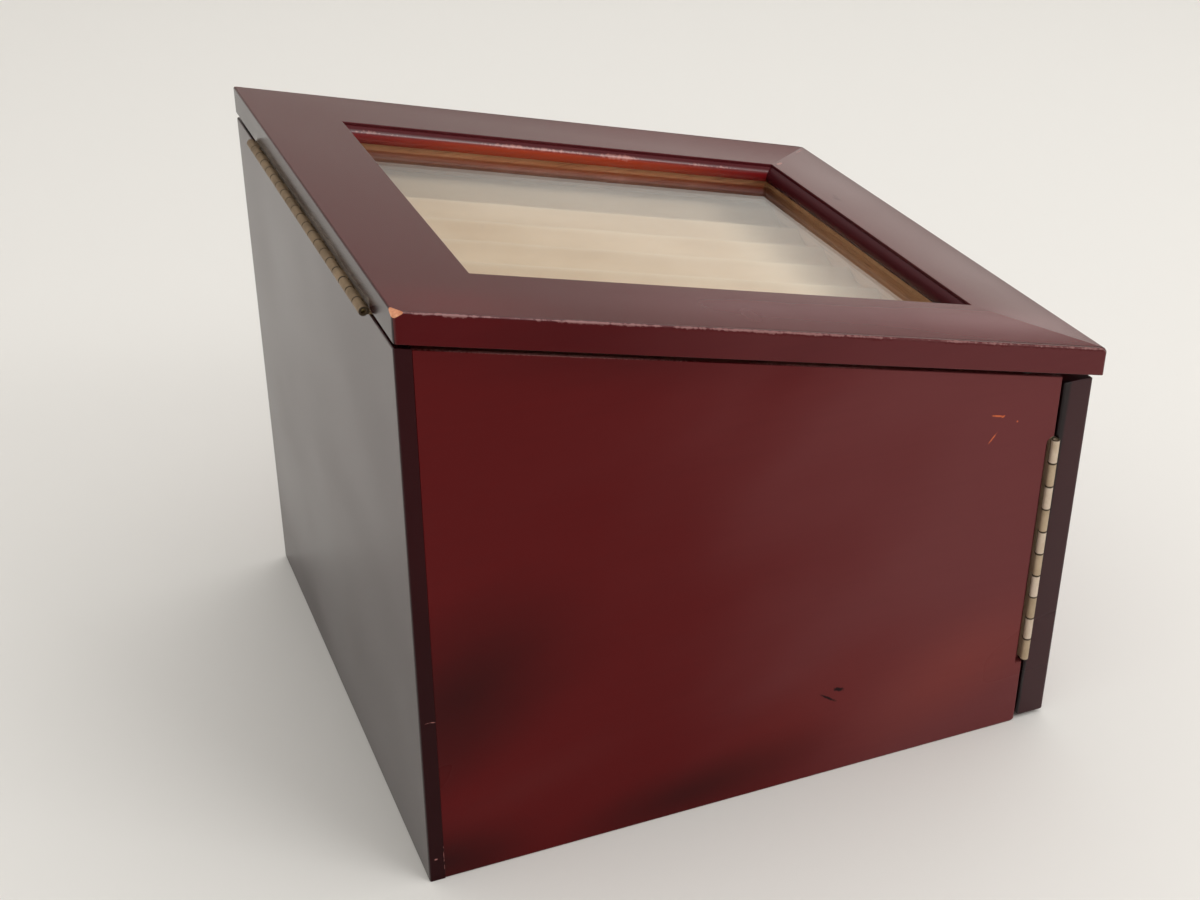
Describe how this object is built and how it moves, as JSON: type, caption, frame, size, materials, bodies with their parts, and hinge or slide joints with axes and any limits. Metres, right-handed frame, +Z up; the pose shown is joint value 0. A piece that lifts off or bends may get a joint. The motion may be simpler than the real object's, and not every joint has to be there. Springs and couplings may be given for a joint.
{
  "type": "pen display case",
  "caption": "Slant-top wooden pen display case with a hinged glazed lid over a grooved velvet tray, and a hinged front door over shallow pen drawers.",
  "frame": {"origin": "middle of the footprint of the side and back panels, on the surface that the case stands on", "axes": "+X to the right seen from the front, +Y from the front door towards the tall back, +Z up"},
  "size_m": [0.2005, 0.2381, 0.1923],
  "materials": {
    "lacquered_wood": "cherry-red mahogany lacquer, semi-gloss, shaded darker at the edges",
    "stained_wood": "thin mahogany stain, matte",
    "velvet": "cream short-pile velvet",
    "glass": "clear float glass",
    "brass": "dull brass plate",
    "steel": "nickel-plated",
    "rubber": "matte"
  },
  "bodies": {
    "case": {"side_panel_left": "lacquered_wood", "side_panel_right": "lacquered_wood", "back_panel": "lacquered_wood", "base_board": "stained_wood", "well_rail_front": "stained_wood", "well_rail_back": "stained_wood", "tray_board": "stained_wood", "drawer_shelf_1": "stained_wood", "drawer_shelf_2": "stained_wood", "pen_tray": "velvet", "well_liner_left": "stained_wood", "well_liner_right": "stained_wood", "well_liner_front": "stained_wood", "well_liner_back": "stained_wood", "lid_bumpers": "rubber", "lid_hinge_case_leaf": "brass", "lid_hinge_pin": "brass", "lid_hinge_case_screws": "brass", "door_hinge_case_leaf": "brass", "door_hinge_pin": "brass", "door_hinge_case_screws": "brass", "catch_magnet": "steel", "drawer_1_front": "lacquered_wood", "drawer_1_side_left": "stained_wood", "drawer_1_side_right": "stained_wood", "drawer_1_back": "stained_wood", "drawer_1_bottom": "stained_wood", "drawer_1_insert": "velvet", "drawer_1_knob": "brass", "drawer_2_front": "lacquered_wood", "drawer_2_side_left": "stained_wood", "drawer_2_side_right": "stained_wood", "drawer_2_back": "stained_wood", "drawer_2_bottom": "stained_wood", "drawer_2_insert": "velvet", "drawer_2_knob": "brass", "drawer_3_front": "lacquered_wood", "drawer_3_side_left": "stained_wood", "drawer_3_side_right": "stained_wood", "drawer_3_back": "stained_wood", "drawer_3_bottom": "stained_wood", "drawer_3_insert": "velvet", "drawer_3_knob": "brass"},
    "lid": {"lid_rail_front": "lacquered_wood", "lid_rail_back": "lacquered_wood", "lid_rail_left": "lacquered_wood", "lid_rail_right": "lacquered_wood", "lid_glass": "glass", "glass_strips": "stained_wood", "lid_hinge_lid_leaf": "brass", "lid_hinge_lid_screws": "brass"},
    "door": {"door_panel": "lacquered_wood", "door_hinge_door_leaf": "brass", "door_hinge_door_screws": "brass", "door_knob": "brass", "door_knob_screw": "steel", "catch_strike": "steel"}
  },
  "joints": [
    {"name": "lid_hinge", "type": "hinge", "parent": "case", "child": "lid", "pos_m": [0, 0.1066, 0.18264], "axis": [-1, 0, 0], "range_deg": [0, 180]},
    {"name": "door_hinge", "type": "hinge", "parent": "case", "child": "door", "pos_m": [-0.099, -0.1056, 0.0687], "axis": [0, 0, -1], "range_deg": [0, 180]}
  ]
}
